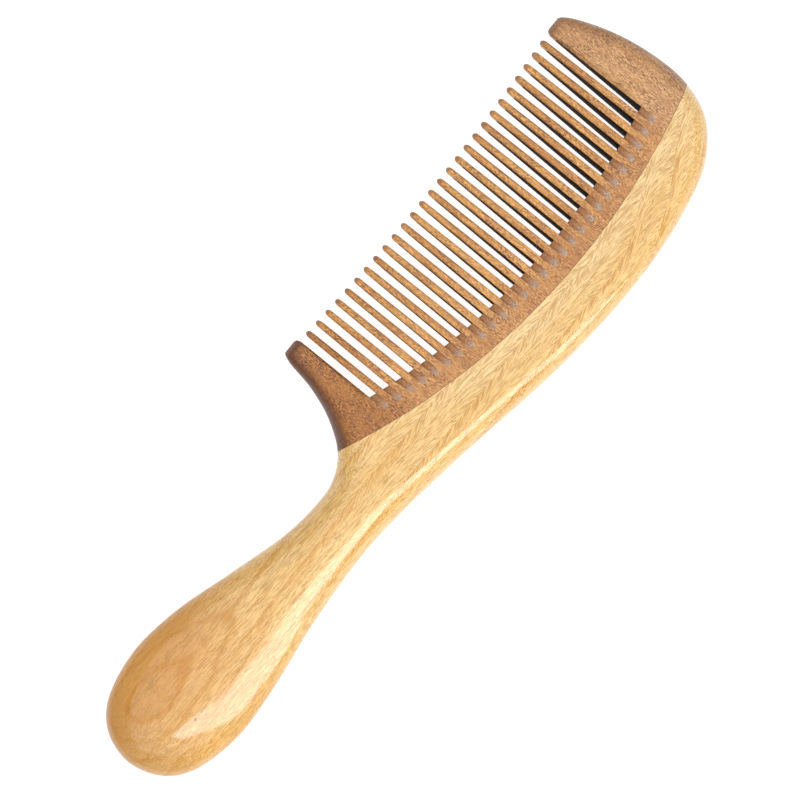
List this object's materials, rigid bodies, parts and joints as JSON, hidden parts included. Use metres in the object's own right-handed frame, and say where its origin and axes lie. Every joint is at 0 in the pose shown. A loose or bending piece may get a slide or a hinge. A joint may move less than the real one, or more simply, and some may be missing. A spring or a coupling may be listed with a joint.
{
  "type": "wide tooth comb",
  "caption": "Flat handled comb of two woods: a light drop-shaped handle and curved back, and a darker plate with rounded teeth and broad end guards.",
  "frame": {"origin": "under the middle of the comb's bounding box, on the face it lies on", "axes": "+X along the comb from the handle to the far guard, +Y across it towards the tooth tips, +Z through its thickness, up"},
  "size_m": [0.1997, 0.0518, 0.012],
  "materials": {
    "light_wood": "fine-sanded and polished, satin to gloss",
    "dark_wood": "fine-sanded and polished, satin"
  },
  "bodies": {
    "root": {"handle_and_back": "light_wood", "tooth_plate": "dark_wood", "tooth_01": "dark_wood", "tooth_02": "dark_wood", "tooth_03": "dark_wood", "tooth_04": "dark_wood", "tooth_05": "dark_wood", "tooth_06": "dark_wood", "tooth_07": "dark_wood", "tooth_08": "dark_wood", "tooth_09": "dark_wood", "tooth_10": "dark_wood", "tooth_11": "dark_wood", "tooth_12": "dark_wood", "tooth_13": "dark_wood", "tooth_14": "dark_wood", "tooth_15": "dark_wood", "tooth_16": "dark_wood", "tooth_17": "dark_wood", "tooth_18": "dark_wood", "tooth_19": "dark_wood", "tooth_20": "dark_wood", "tooth_21": "dark_wood", "tooth_22": "dark_wood", "tooth_23": "dark_wood", "tooth_24": "dark_wood", "tooth_25": "dark_wood", "tooth_26": "dark_wood", "tooth_27": "dark_wood"}
  },
  "joints": []
}
